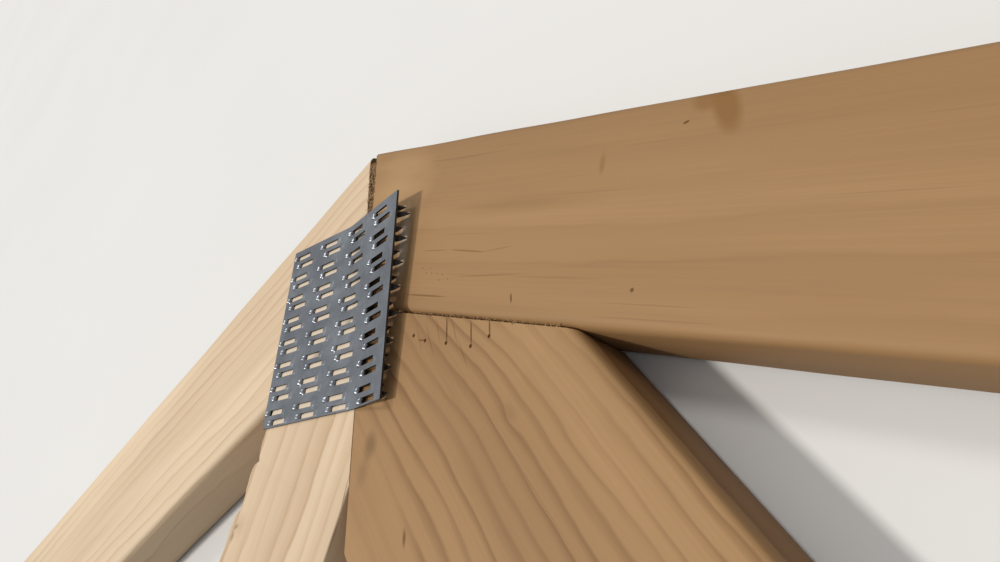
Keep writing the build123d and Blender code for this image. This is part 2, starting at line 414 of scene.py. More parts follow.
def paint_marks(tree, colour, sheen, coords, waver, marks):
    """Lays marks over a colour. Dark and sawn ones take away the sheen too."""
    for point, size, strength, tint, edge, turn in marks:
        far = ellipse_distance(tree, coords, point, size, turn)
        raggedness = min(1.5, 150 * min(size[:2]))
        ragged = times(tree, minus(tree, waver, 0.5), raggedness)
        inside = maths(tree, "SUBTRACT", 1.0, plus(tree, far, ragged), clamp=True)
        full = maths(tree, "MULTIPLY", inside, edge, clamp=True)
        share = times(tree, full, strength)
        colour = mix(tree, share, colour, tint)
        if tint in (DARK, SAWN):
            sheen = times(tree, sheen, minus(tree, 1.0, share))
    return colour, sheen


def paint_edges(tree, colour, sheen, coords, edges):
    """Darkens the torn wood beside sawn edges, given as a point, the way in, a width and a strength. Along
    the webs' joints under the chords the darkening is painted shade.
    """
    crumb = stretched_noise(tree, coords, (450,) * 3, 3.0)
    for point, inward, width, strength in edges:
        values = {0: coords, 1: tuple(point)}
        reach = add_node(tree, "ShaderNodeVectorMath", values, operation="SUBTRACT").outputs[0]
        values = {0: reach, 1: tuple(inward)}
        off = add_node(tree, "ShaderNodeVectorMath", values, operation="DOT_PRODUCT").outputs["Value"]
        near = minus(tree, times(tree, crumb, 2.6), maths(tree, "DIVIDE", off, width * MM))
        full = maths(tree, "MULTIPLY", minus(tree, near, 0.3), 2.0, clamp=True)
        share = times(tree, full, strength)
        colour = mix(tree, share, colour, SAWN)
        sheen = times(tree, sheen, minus(tree, 1.0, share))
    return colour, sheen


def pine(name, origin, along, look):
    """Dressed pine whose growth rings run along a member, as its look says."""
    early, late = look["colours"]
    material, tree, shader = new_material(name)
    coords = object_coords(tree)
    board = board_coords(tree, coords, origin, along)
    offset = tuple(look["seed"] * factor for factor in (997, 61, 23))
    shifted = add_node(tree, "ShaderNodeMapping", {"Vector": board, "Location": offset}).outputs[0]

    # Each year ends in a thin dark line of late wood, with the years of uneven width
    radius, waver, knot_reach = ring_radius(tree, board, shifted, look)
    late_share, line_share = ring_shares(tree, coords, shifted, radius, look)
    colour = mix(tree, late_share, early, late)
    colour = mix(tree, line_share, colour, scaled(late, 0.8))

    # Fine fibres, broad tone and a few resin streaks
    fibre = stretched_noise(tree, shifted, (0.014, 0.9, 0.9), 4.0, 0.6)
    broad = stretched_noise(tree, shifted, (0.0022, 0.02, 0.02), 3.0)
    shade = ramp(tree, fibre, (0.3, (0.95, 0.945, 0.935)), (0.7, (1.03, 1.03, 1.03)))
    colour = mix(tree, 1.0, colour, shade, "MULTIPLY")
    tone = ramp(tree, broad, (0.3, (0.86, 0.82, 0.77)), (0.7, (1.07, 1.07, 1.07)))
    colour = mix(tree, 1.0, colour, tone, "MULTIPLY")
    streak_noise = stretched_noise(tree, shifted, (0.009, 0.7, 0.2), 1.0)
    streak = ramp(tree, streak_noise, (0.7, (0, 0, 0)), (0.75, (0.22,) * 3))
    colour = mix(tree, streak, colour, scaled(late, 0.55))

    # Knots, painted light on the wood under the apex plate, and what has marked the wood
    if knot_reach is not None:
        colour = knot_face(tree, colour, knot_reach, late)
    # Painted light: the wood under the apex plate is made paler, as if lit through its slots
    if look.get("covered"):
        colour = mix(tree, times(tree, under_plate(tree, coords), UNDER_PLATE_LIGHT_SHARE), colour, UNDER_PLATE_LIGHT)
    colour, sheen = paint_marks(tree, colour, SHEEN, coords, waver, look.get("marks", ()))
    if "edges" in look:
        colour, sheen = paint_edges(tree, colour, sheen, coords, look["edges"])

    tree.links.new(colour, shader.inputs["Base Color"])
    tree.links.new(plus(tree, times(tree, fibre, 0.18), 0.55), shader.inputs["Roughness"])
    if isinstance(sheen, float):
        shader.inputs["Specular IOR Level"].default_value = sheen
    else:
        tree.links.new(sheen, shader.inputs["Specular IOR Level"])
    set_bump(tree, shader, plus(tree, times(tree, late_share, 0.35), fibre), 0.2)
    return material


def mark(x, rise, width, height, strength, tint, edge=2.5, depth=2.0, turn=0.0):
    """A dark or tinted spot on the front face near the apex. A low edge value makes it soft."""
    return (at_apex(x, rise), (width * MM, height * MM, depth * MM), strength, tint, edge, turn)


# Other materials


def zinc_steel(name):
    """Dull zinc-coated sheet with a faint spangle, grain and shallow dents."""
    material, tree, shader = new_material(name)
    in_mm = in_millimetres(tree)
    spangle = add_node(tree, "ShaderNodeTexVoronoi", {"Vector": in_mm, "Scale": 0.28}).outputs["Color"]
    grey = add_node(tree, "ShaderNodeRGBToBW", {"Color": spangle}).outputs[0]
    cloud = stretched_noise(tree, in_mm, (0.06, 0.06, 0.06), 4.0)
    grain = stretched_noise(tree, in_mm, (0.9, 2.4, 2.4), 3.0)
    dents = stretched_noise(tree, in_mm, (0.22, 0.3, 0.3), 2.0)
    colour = ramp(tree, cloud, (0.3, (0.205, 0.222, 0.245)), (0.72, (0.285, 0.305, 0.328)))
    tint = ramp(tree, grey, (0.0, (0.93, 0.93, 0.93)), (1.0, (1.05, 1.05, 1.06)))
    tree.links.new(mix(tree, 1.0, colour, tint, "MULTIPLY"), shader.inputs["Base Color"])
    shader.inputs["Metallic"].default_value = 0.9
    rough = plus(tree, times(tree, grain, 0.16), times(tree, cloud, 0.2))
    tree.links.new(plus(tree, rough, 0.14), shader.inputs["Roughness"])
    set_bump(tree, shader, plus(tree, times(tree, grain, 0.6), times(tree, dents, 6.0)), 0.2)
    return material


def edge_and_tooth_shade_steel(name):
    """The cut edge of the sheet, bare, dark and rough. The teeth past their bends take it too, as painted
    shade.
    """
    material, tree, shader = new_material(name)
    drag = stretched_noise(tree, object_coords(tree), (900, 900, 2600), 3.0)
    colour = ramp(tree, drag, (0.3, (0.018, 0.015, 0.012)), (0.7, (0.065, 0.057, 0.048)))
    tree.links.new(colour, shader.inputs["Base Color"])
    shader.inputs["Metallic"].default_value = 0.8
    tree.links.new(plus(tree, times(tree, drag, 0.3), 0.3), shader.inputs["Roughness"])
    return material


def torn_fibre(name, pale, dark):
    """Rough torn wood in a sawn gap."""
    material, tree, shader = new_material(name)
    patch = stretched_noise(tree, in_millimetres(tree), (0.8, 0.8, 0.8), 4.0)
    tree.links.new(ramp(tree, patch, (0.35, dark), (0.68, pale)), shader.inputs["Base Color"])
    shader.inputs["Roughness"].default_value = 0.85
    return material


def pale_floor(name):
    """A floor that is seen as near white paper and throws little light back up at the wood."""
    material, tree, shader = new_material(name)
    patch = stretched_noise(tree, object_coords(tree), (3.0, 3.0, 3.0), 2.0)
    pale = ramp(tree, patch, (0.3, (0.70, 0.69, 0.67)), (0.7, (0.72, 0.71, 0.69)))
    bounced = (0.25, 0.245, 0.24)
    rays = add_node(tree, "ShaderNodeLightPath").outputs
    seen = maths(tree, "MAXIMUM", rays["Is Camera Ray"], rays["Is Glossy Ray"])
    seen = maths(tree, "MAXIMUM", seen, rays["Is Transmission Ray"])
    tree.links.new(mix(tree, seen, bounced, pale), shader.inputs["Base Color"])
    shader.inputs["Roughness"].default_value = 0.8
    return material


# Meshes


def new_piece(name, vertices, faces, material, replaced=()):
    """A mesh piece that rides on the truss."""
    mesh = bpy.data.meshes.new(name)
    mesh.from_pydata([tuple(v) for v in vertices], [], faces)
    mesh.update()
    mesh.materials.append(material)
    piece = bpy.data.objects.new(name, mesh)
    bpy.context.scene.collection.objects.link(piece)
    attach(piece, "root")
    if replaced:
        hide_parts(*replaced)
    return piece


def apply_modifiers(piece):
    """Makes a piece's modifiers part of its mesh."""
    bpy.context.view_layer.update()
    graph = bpy.context.evaluated_depsgraph_get()
    mesh = bpy.data.meshes.new_from_object(piece.evaluated_get(graph))
    piece.modifiers.clear()
    piece.data = mesh


def smooth_by_angle(piece, degrees=35):
    """Smooth shading with sharp edges past an angle."""
    for polygon in piece.data.polygons:
        polygon.use_smooth = True
    piece.data.set_sharp_from_angle(angle=radians(degrees))


# Nail plates


def flat_sheet_point(centre, turn, cells):
    """A function that places a point of a flat plate: along, down from its top left, and out of it."""
    along = Vector((cos(turn), sin(turn), 0))
    down = Vector((sin(turn), -cos(turn), 0))
    corner = centre - along * cells[0] * CELL_LENGTH / 2 - down * cells[1] * CELL_HEIGHT / 2

    def place(u, v, out):
        return corner + along * u + down * v + Vector((0, 0, out))

    return place


def bent_sheet_point(u, v, out):
    """Places a point of the lifted apex plate, which turns up about its hinge line."""
    height = APEX_CELLS[1] * CELL_HEIGHT
    hinge = Vector((HINGE_BOTTOM - HINGE_TOP, height)).normalized()
    across_axis = Vector((hinge.y, -hinge.x))
    point = Vector((u, v))
    across = max((point - Vector((HINGE_TOP, 0))).dot(across_axis), 0)
    turn = min(across / HINGE_RADIUS, FLAP_ANGLE)
    beyond = across - HINGE_RADIUS * turn
    run = HINGE_RADIUS * sin(turn) + beyond * cos(turn)
    rise = HINGE_RADIUS * (1 - cos(turn)) + beyond * sin(turn)
    flat = point - across_axis * (across - run) - across_axis * out * sin(turn)
    lifted = Vector((0, 0, rise + out * cos(turn)))
    return APEX_CORNER + APEX_ALONG * flat.x + APEX_DOWN * flat.y + lifted


class SheetMesh:
    """Vertices and faces of a sheet's outer side, joined where they meet."""

    def __init__(self, place, face_out):
        self.place = place
        self.face_out = face_out
        self.vertices = []
        self.faces = []
        self.numbers = {}

    def vertex(self, u, v, out):
        """The number of the vertex at a point of the sheet."""
        key = (round(u * 1e6), round(v * 1e6), round(out * 1e6))
        if key not in self.numbers:
            self.numbers[key] = len(self.vertices)
            lifted = out * self.face_out + PLATE * (self.face_out > 0)
            self.vertices.append(self.place(u, v, lifted))
        return self.numbers[key]

    def quad(self, corners):
        """A face that looks out of the sheet."""
        self.faces.append(corners if self.face_out > 0 else corners[::-1])


def slot_rectangles():
    """The two slots of a cell as left, right, top and bottom, out to where their teeth start to bend."""
    reach, half = SLOT_OPENING / 2 + ROOT_RADIUS, SLOT_WIDTH / 2
    return [(u - reach, u + reach, v - half, v + half) for u, v in (FIRST_SLOT, SECOND_SLOT)]


def span_lines(stops, step):
    """Grid lines through the stops, with no gap much wider than the step."""
    lines = [stops[0]]
    for low, high in zip(stops, stops[1:]):
        count = max(1, round((high - low) / step))
        lines += [low + (high - low) * k / count for k in range(1, count + 1)]
    return lines


def cell_lines(slots, slot_rows, lip_stations, step):
    """Grid lines along and down one cell, through its slots and the stations of their lips."""
    u_stops, v_stops = {0.0, CELL_LENGTH}, {0.0, CELL_HEIGHT}
    for slot in slots:
        u_stops |= {slot[0], slot[1]}
        v_stops |= {slot[2] + (slot[3] - slot[2]) * k / slot_rows for k in range(slot_rows + 1)}
        if lip_stations:
            v_stops |= {slot[2] - LIP_SIDE, slot[3] + LIP_SIDE}
            for apart in [-LIP_TRAIL] + [apart for apart, _ in lip_stations]:
                u_stops |= {slot[0] - apart, slot[1] + apart}
    return span_lines(sorted(u_stops), step), sorted(v_stops)


def lip_height(apart):
    """A lip's height beside the end of a slot, as a share of its crown."""
    for (low, first), (high, second) in zip(LIP_PROFILE, LIP_PROFILE[1:]):
        if apart <= high:
            return first + (second - first) * max(0.0, apart - low) / (high - low)
    return 0.0


def swell(aside):
    """How much of a lip's rise is left at a distance beside its middle line."""
    return 1 - (aside / (SLOT_WIDTH / 2 + LIP_SIDE)) ** 6


def dome(u, v, slots, lips):
    """How far the sheet stands up at a point of a cell, beside the end of a slot."""
    for slot, lip in zip(slots, lips):
        apart = max(slot[0] - u, u - slot[1])
        aside = v - (slot[2] + slot[3]) / 2
        if -LIP_TRAIL < apart < LIP_PROFILE[-1][0] and abs(aside) < SLOT_WIDTH / 2 + LIP_SIDE:
            fade = min(1.0, 1 + apart / LIP_TRAIL)
            end_share = 1 if u < (slot[0] + slot[1]) / 2 else RIGHT_LIP_SHARE
            return lip * end_share * lip_height(max(apart, 0.0)) * fade * swell(aside)
    return 0.0


def sheet_around_slots(sheet, left, top, grid, slots, lips):
    """The faces of one cell's sheet, with its slots left open."""
    for u0, u1 in zip(grid[0], grid[0][1:]):
        for v0, v1 in zip(grid[1], grid[1][1:]):
            inside = any(
                s[0] - TINY < u0 and u1 < s[1] + TINY and s[2] - TINY < v0 and v1 < s[3] + TINY
                for s in slots
            )
            if not inside:
                corners = [(u0, v0), (u0, v1), (u1, v1), (u1, v0)]
                sheet.quad([sheet.vertex(left + u, top + v, dome(u, v, slots, lips)) for u, v in corners])


def tooth_profile(depth):
    """Stations down a tooth: how far it has curled in, its depth, width share, cup and bend."""
    stations = []
    for k in range(TOOTH_BENDS + 1):
        turn = pi / 2 * k / TOOTH_BENDS
        stations.append((ROOT_RADIUS * sin(turn), ROOT_RADIUS * (1 - cos(turn)), 1.0, BEND_CUP * k, turn))
    if depth < TOOTH_LENGTH:
        stations.append((ROOT_RADIUS, depth, 1.0, SEATED_CUP, pi / 2))
        return stations
    for share, width, cup, curl in TOOTH_STATIONS:
        level = ROOT_RADIUS + (TOOTH_LENGTH - ROOT_RADIUS) * share
        stations.append((ROOT_RADIUS - curl * MM, level, width, cup * MM, pi / 2))
    return stations


def tooth_rows(sheet, left, top, slot, end, lip, tooth_depth, slot_rows, random):
    """Rows of vertices down the tooth that is bent out of one end of a slot, twisted and leaning."""
    twist = random.uniform(-1, 1) * TOOTH_TWIST
    lean_u = random.uniform(*LEANS_ALONG) * TOOTH_LEAN
    lean_v = random.uniform(*LEANS_DOWN) * TOOTH_LEAN
    edge = slot[0] if end > 0 else slot[1]
    room = sheet.place(left + edge, top + slot[3], 0.0).z - FRONT_Z
    shorter = min(1.0, room / TOOTH_LENGTH) if room > PULLED_OUT else 1.0
    rows = []
    for step_in, depth, width, cup, bend in tooth_profile(tooth_depth):
        row = []
        fall = 0.0
        if depth > ROOT_RADIUS:
            fall = max(0.0, depth / TOOTH_LENGTH - STRAIGHT_SHARE)
            depth = ROOT_RADIUS + (depth - ROOT_RADIUS) * shorter
        for k in range(slot_rows + 1):
            share = 2 * k / slot_rows - 1
            cupped = -cup * (1 - share * share)
            side = SLOT_WIDTH / 2 * width * share
            turned = twist * fall
            along = cupped * cos(turned) + side * sin(turned) - lean_u * fall
            across = side * cos(turned) - cupped * sin(turned) + lean_v * fall
            u = edge + end * (step_in + along)
            v = (slot[2] + slot[3]) / 2 + across
            rolled = max(0.0, 1 - sin(bend)) ** LIP_ROLL
            rise = lip * LIP_PROFILE[0][1] * rolled * swell(side)
            row.append(sheet.vertex(left + u, top + v, rise - depth))
        rows.append(row)
    return rows


def thicken(piece, tips):
    """Gives a sheet its thickness, which runs out at the teeth's tips."""
    solid = piece.modifiers.new("sheet", "SOLIDIFY")
    solid.thickness = PLATE
    solid.offset = -1
    solid.material_offset_rim = 1
    thickness = piece.vertex_groups.new(name="thickness")
    thickness.add(range(len(piece.data.vertices)), 1.0, "REPLACE")
    thickness.add(tips, 0.0, "REPLACE")
    solid.vertex_group = thickness.name
    solid.thickness_vertex_group = TIP_SHARE
    apply_modifiers(piece)


def punched_plate(name, cells, place, tooth_depth, replaced, face_out=1.0, step=SHEET_STEP):
    """A sheet with two staggered slots in each cell, whose ends curl down into teeth."""
    random = Random(cells[0] * 31 + cells[1])
    is_fine = tooth_depth == TOOTH_LENGTH
    slot_rows = APEX_SLOT_ROWS if is_fine else SLOT_ROWS
    crown = LIP_CROWN if face_out > 0 else 0.0
    lip_stations = (LIP_PROFILE if is_fine else LIP_PROFILE[::2]) if crown else ()
    slots = slot_rectangles()
    grid = cell_lines(slots, slot_rows, lip_stations, step)
    sheet = SheetMesh(place, face_out)
    shaded_teeth_faces, tips = [], []
    for column in range(cells[0]):
        for row in range(cells[1]):
            left, top = column * CELL_LENGTH, row * CELL_HEIGHT
            lips = [crown * random.uniform(*LIP_VARIETY) for _ in slots]
            sheet_around_slots(sheet, left, top, grid, slots, lips)
            for slot, slot_lip in zip(slots, lips):
                for end, lip in ((1, slot_lip), (-1, slot_lip * RIGHT_LIP_SHARE)):
                    rows = tooth_rows(sheet, left, top, slot, end, lip, tooth_depth, slot_rows, random)
                    tips += rows[-1]
                    for number, (upper, lower) in enumerate(zip(rows, rows[1:])):
                        for k in range(slot_rows):
                            corners = [upper[k], upper[k + 1], lower[k + 1], lower[k]]
                            # Tooth faces past the bends take the dark steel: painted shade on the teeth
                            if number >= TOOTH_BENDS:
                                shaded_teeth_faces.append(len(sheet.faces))
                            sheet.quad(corners if end > 0 else corners[::-1])
    piece = new_piece(name, sheet.vertices, sheet.faces, steel, replaced)
    piece.data.materials.append(edge_and_tooth_shade)
    piece.data.materials.append(edge_and_tooth_shade)
    for number in shaded_teeth_faces:
        piece.data.polygons[number].material_index = 1
    thicken(piece, tips)
    smooth_by_angle(piece)
    return piece


# Timbers


def bark_edge(s, y, z):
    """Scalloped wane on the front outer arris, as bitten as the photograph has it near the head."""
    from_head = s / MM
    if from_head < BITES[-1][0]:
        pairs = zip(BITES, BITES[1:])
        low, high = next(pair for pair in pairs if pair[0][0] <= from_head < pair[1][0])
        depth = low[1] + (high[1] - low[1]) * (from_head - low[0]) / (high[0] - low[0])
        depth += 0.7 * noise.noise(Vector((s * 260, 2.2, 0.0)))
        fall = WANE_DOWN
    else:
        fade = max(WANE_RUNOUT, 1 - s / WANE_LENGTH)
        coarse = noise.noise(Vector((s * 55, 3.1, 0.0)))
        fine = noise.noise(Vector((s * 160, 8.1, 0.0)))
        depth = WANE_DEPTH * fade * max(0.6 + 0.5 * coarse + 0.4 * fine, 0.15)
        fall = WANE_DOWN * fade
    below = max(0.0, 1 - (THICKNESS / 2 - z) / (fall * MM))
    return y + depth * MM * below, z


class Timber:
    """One straight stick: its centre line, depth and the planes that saw it."""

    def __init__(self, node, start, end, depth, cuts):
        self.node = node
        self.start = Vector(start)
        self.end = Vector(end)
        self.depth = depth
        self.cuts = cuts
        self.along = (self.end - self.start).normalized()

    def section(self, s, wane, crisp):
        """The section at a distance from the head, as points across and out of the stick."""
        half = self.depth / 2
        points = []
        for corner, (sy, sz) in enumerate(((-1, 1), (1, 1), (1, -1), (-1, -1))):
            wobble = noise.noise(Vector((s * 22, corner * 7.3, 1.7)))
            radius = ARRIS * (1 + ARRIS_VARIETY * wobble) * (CRISP_SHARE if corner == crisp else 1)
            start_turn = (pi / 2) * (1 - corner) + pi / 2
            for k in range(CORNER_STEPS + 1):
                turn = start_turn - (pi / 2) * k / CORNER_STEPS
                y = sy * (half - radius) + radius * cos(turn)
                z = sz * (THICKNESS / 2 - radius) + radius * sin(turn)
                if wane is not None and corner == 0:
                    y, z = wane(s, y, z)
                points.append((y, z))
        return points

    def mesh_piece(self, material, wane=None, crisp=None):
        """The stick as a mesh with slightly uneven arrises, one of them crisp, sawn to its cuts."""
        length = (self.end - self.start).length
        across = Vector((-self.along.y, self.along.x))
        stations = [-OVERRUN]
        while stations[-1] < length + OVERRUN:
            from_head = stations[-1]
            stations.append(from_head + (NEAR_STEP if abs(from_head) < NEAR_HEAD else FAR_STEP))
        vertices = []
        for s in stations:
            centre = self.start + self.along * s
            for y, z in self.section(s, wane, crisp):
                point = centre + across * y
                vertices.append((point.x, point.y, PLATE + THICKNESS / 2 + z))
        count = len(vertices) // len(stations)
        faces = []
        for i in range(len(stations) - 1):
            for k in range(count):
                a, b = i * count + k, i * count + (k + 1) % count
                faces.append((a, a + count, b + count, b))
        faces.append(tuple(range(count)))
        faces.append(tuple(range((len(stations) - 1) * count, len(stations) * count))[::-1])
        piece = new_piece(self.node + "_wood", vertices, faces, material, [self.node])
        self.saw(piece)
        smooth_by_angle(piece)
        return piece

    def saw(self, piece):
        """Cuts the stick's mesh along its planes and closes the ends."""
        mesh = bmesh.new()
        mesh.from_mesh(piece.data)
        bmesh.ops.recalc_face_normals(mesh, faces=mesh.faces)
        for point, normal in self.cuts:
            everything = mesh.verts[:] + mesh.edges[:] + mesh.faces[:]
            cut = bmesh.ops.bisect_plane(
                mesh, geom=everything, plane_co=(*point, 0), plane_no=(*normal, 0), clear_inner=True
            )
            edges = [e for e in cut["geom_cut"] if isinstance(e, bmesh.types.BMEdge)]
            bmesh.ops.holes_fill(mesh, edges=edges, sides=0)
        bmesh.ops.recalc_face_normals(mesh, faces=mesh.faces)
        mesh.to_mesh(piece.data)
        mesh.free()


def underside_cut(side):
    """Keeps what lies under one top chord."""
    down = Vector((-side * sin(PITCH), -cos(PITCH)))
    return (Vector((0, UNDERSIDE_Y)) + down * JOINT_GAP, down)


def plumb_cut(x, keep):
    """Keeps one side of a plumb line."""
    return (Vector((x + keep * JOINT_GAP / 2, 0)), Vector((keep, 0)))


def apex_web(side, reach, lean, depth):
    """The centre line of a web that runs from the apex to the bottom chord."""
    down = Vector((side * sin(lean), -cos(lean)))
    inward = Vector((-side * cos(lean), -sin(lean)))
    head = Vector((side * reach, UNDERSIDE_Y - reach * SLOPE)) + inward * depth / 2
    foot = head + down * ((BOTTOM_TOP_Y - head.y) / down.y)
    return head, foot


def members():
    """The four timbers that meet at the apex."""
    made = {}
    axis_y = PEAK_Y - CHORD_PLUMB / 2
    ridge_lean = (RIDGE_GAP_TOP - RIDGE_GAP_BOTTOM) / 2
    for side, name, reach, lean, depth in APEX_SIDES:
        ridge_normal = Vector((side * CHORD_PLUMB, -ridge_lean)).normalized()
        ridge = (Vector((side * RIDGE_GAP_TOP / 2, PEAK_Y)), ridge_normal)
        tail = (Vector((side * TAIL_X, 0)), Vector((-side, 0)))
        node = "top_chord_" + name
        end = (side * TAIL_X, axis_y - TAIL_X * SLOPE)
        made[node] = Timber(node, (0, axis_y), end, CHORD_DEPTH, [ridge, tail])
        node = "web_" + name + "_1"
        head, foot = apex_web(side, reach, lean, depth)
        seat = (Vector((0, BOTTOM_TOP_Y + JOINT_GAP)), Vector((0, 1)))
        cuts = [underside_cut(side), plumb_cut(0, side), seat, plumb_cut(foot.x, -side)]
        made[node] = Timber(node, head, foot, depth, cuts)
    return made


def splinters(name, start, end, count, length, width, spread, seed, out=0.0):
    """Thin torn fibres along a sawn joint line."""
    random = Random(seed)
    line = end - start
    side = Vector((-line.y, line.x, 0)).normalized()
    vertices, faces = [], []
    for _ in range(count):
        root = start + line * random.random() + side * random.uniform(-spread, spread)
        root.z += out + random.uniform(*FIBRE_ROOTS)
        turn = random.uniform(0, 2 * pi)
        lean = Vector((cos(turn), sin(turn), random.uniform(*FIBRE_LEANS))).normalized()
        across = lean.cross(Vector((0, 0, 1))).normalized()
        long, wide = length * random.uniform(*FIBRE_LENGTHS), width * random.uniform(*FIBRE_WIDTHS)
        up = lean.cross(across) * wide * FIBRE_RIDGE
        base = len(vertices)
        vertices += [root - across * wide, root + across * wide, root + up, root + lean * long]
        faces += [tuple(base + k for k in face) for face in ((0, 1, 3), (1, 2, 3), (2, 0, 3), (0, 2, 1))]
    return new_piece(name, vertices, faces, fibre)


# Marks on the right top chord: a painted pool of light by the peak, a painted strip of light beside the flap,
# rust, a painted shadow line along its joint with the web, specks and fine lines along the grain
chord_marks = [
    # Painted light: a pool of warm light on the chord by the peak
    mark(20, -38, 34, 34, 0.45, PEAK_LIGHT_POOL, 1.0, 12),
    # Painted light: a pale strip on the chord just right of the flap's edge
    mark(29, -73, 4.5, 26, 0.55, UNDER_PLATE_LIGHT, 1.5, 6, turn=-0.1),
    mark(196.5, -90, 6.5, 14, 1.0, RUST, 2.2, 8, turn=0.05),
    mark(190.5, -83.5, 8, 6.5, 0.75, RUST, 2.0, 8, turn=-PITCH),
    mark(145.5, -87, 1.8, 6, 0.6, RUST, 1.6, 8, turn=-0.25),
    mark(100, -84, 60, 4.6, 0.4, TAN[1], 1.2, 8, turn=-PITCH),
    # Painted shadow: a dark line along the chord's underside, over its joint with the web
    mark(64, -124, 62, 1.4, 0.75, DARK, 1.5, 4, turn=-PITCH),
    mark(181.6, -88.2, 1.6, 0.6, 0.75, DARK),
    mark(96.9, -127.4, 0.6, 2.6, 0.65, DARK),
    mark(151.4, -144.3, 1.0, 1.0, 0.65, DARK),
    mark(46, -107.5, 17, 0.5, 0.65, SAWN, turn=-PITCH),
    mark(52, -86.3, 11, 0.4, 0.35, SAWN, turn=-0.38),
    mark(73, -95.4, 14, 0.5, 0.5, SAWN, turn=-0.44),
    mark(91, -102, 9, 0.4, 0.3, SAWN, turn=-0.25),
    mark(84, -112, 26, 0.5, 0.35, SAWN, 1.5, turn=-0.34),
    mark(120, -127, 30, 0.8, 0.2, SAWN, 1.0, turn=-PITCH),
]
pin_dots = (
    (44, -92.5), (46.5, -96), (50, -97.5), (49, -94.5), (53.5, -99), (57, -101), (60.5, -104.5), (55, -103)
)
chord_marks += [mark(x, rise, 0.55, 0.45, 0.55, DARK, 1.6) for x, rise in pin_dots]

# Marks on the right web: old tooth holes, the trails above the last three, smudges and fine lines
tooth_holes = (
    (39.2, -125.1, -125), (46.8, -129.9, -129), (60, -135.2, -123), (74.4, -141.1, -129.6), (84.7, -140, -133)
)
web_marks = [mark(x, rise, 1.0, 1.1, 0.95, DARK) for x, rise, _ in tooth_holes]
for x, rise, trail_top in tooth_holes[2:]:
    half_trail = abs(trail_top - rise) / 2 + 1
    web_marks.append(mark(x + 0.4, (rise + trail_top) / 2, 0.55, half_trail, 0.7, DARK))
web_marks += [
    mark(44.5, -129, 2.4, 0.5, 0.6, DARK, turn=-0.3),
    mark(13, -169, 5.5, 8, 0.75, SMUDGE, 1.4, 8, turn=-0.15),
    mark(9, -180, 4.5, 9, 0.4, SMUDGE_EDGE, 1.2, 8, turn=-0.35),
    mark(94, -174, 5, 4, 0.25, SMUDGE_FAINT, 1.2, 8, turn=-0.9),
    mark(38, -211, 1.3, 4.5, 0.6, DARK, 1.5),
]
fine_lines = (
    (43, -128, 9, 0.28), (50, -131, 12, 0.3), (55, -128, 8, 0.2), (65, -131, 9, 0.25), (70, -143, 9, 0.35)
)
web_marks += [mark(x, rise, 0.45, reach, 0.45, SAWN, 1.4, turn=turn) for x, rise, reach, turn in fine_lines]

# Marks on the left web: a soiled patch on its outer side and lines along its inner arris
left_web_marks = [
    mark(-89, -189, 6, 7, 0.3, MID[1], 1.1, 9, turn=-0.4),
    mark(-92, -189, 2.8, 1.5, 0.65, SOIL, 1.2, 9, turn=0.4),
    mark(-94.5, -193.5, 1.8, 3.4, 0.55, SOIL, 1.2, 9, turn=-0.4),
    mark(-2.4, -186, 0.45, 9, 0.6, SAWN, 1.6, turn=-0.3),
    mark(-9.6, -205, 0.6, 12, 0.8, SAWN, 1.6, turn=-0.43),
]

apex_timbers = members()


def board_place(node, x, rise):
    """A point near the apex as millimetres along and across one of the timbers."""
    timber = apex_timbers[node]
    offset = (at_apex(x, rise).to_2d() - timber.start) / MM
    return offset.dot(timber.along), offset.dot(Vector((-timber.along.y, timber.along.x)))


# Looks: pith is millimetres across and out of the board, ring and narrowing are millimetres
looks = {
    "top_chord_left": {
        "colours": CREAM,
        "pith": (150, -60),
        "ring": 8.0,
        "seed": 1.3,
        "contrast": 0.6,
    },
    "top_chord_right": {
        "colours": TAN,
        "pith": (-240, -30),
        "ring": 15.0,
        "seed": 2.1,
        "contrast": 0.3,
        "marks": chord_marks,
    },
    "web_left_1": {
        "colours": CREAM,
        "pith": (-170, -50),
        "ring": 11.0,
        "seed": 3.7,
        "contrast": 0.9,
        "late_wood": (0.45, 0.75, 0.35),
        "waver": 11.0,
        "marks": left_web_marks,
    },
    "web_right_1": {
        "colours": TAN,
        "pith": (-220, -60),
        "ring": 8.0,
        "narrowing": 235,
        "seed": 6.3,
        "contrast": 1.0,
        "late_wood": (0.6, 0.8, 0.35),
        "uneven": 0.8,
        "plain": [(at_apex(12, -205), (34 * MM, 75 * MM, 20 * MM), 0.35)],
        "knots": [
            (*board_place("web_right_1", 70, -100), 9, False),
            (*board_place("web_right_1", 95, -176), 1.6, False),
        ],
        "marks": web_marks,
    },
}

# Torn edges at the ridge, and painted shade along the webs' joints under the chords: a point, the way in, the
# width in millimetres, a strength
for side, name, *_ in APEX_SIDES:
    ridge_edge = (Vector((side * RIDGE_GAP_TOP / 2, PEAK_Y, 0)), (side, -0.02, 0), 0.9, 0.9)
    # Painted shade: the web is darkened along its joint under the chord
    joint_shade_edge = (Vector((0, UNDERSIDE_Y, 0)), (-side * sin(PITCH), -cos(PITCH), 0), 0.8, 0.9)
    looks["top_chord_" + name].update({"edges": [ridge_edge], "covered": True})
    looks["web_" + name + "_1"].update({"edges": [joint_shade_edge], "covered": True})

steel = zinc_steel("zinc_steel")
edge_and_tooth_shade = edge_and_tooth_shade_steel("edge_and_tooth_shade_steel")
fibre = torn_fibre("torn_fibre", (0.55, 0.34, 0.16), (0.12, 0.06, 0.022))

# The four apex timbers
for node, timber in apex_timbers.items():
    wood = pine(node + "_pine", timber.start, timber.along, looks[node])
    timber.mesh_piece(wood, bark_edge if node == "web_left_1" else None, CRISP_CORNERS.get(node))


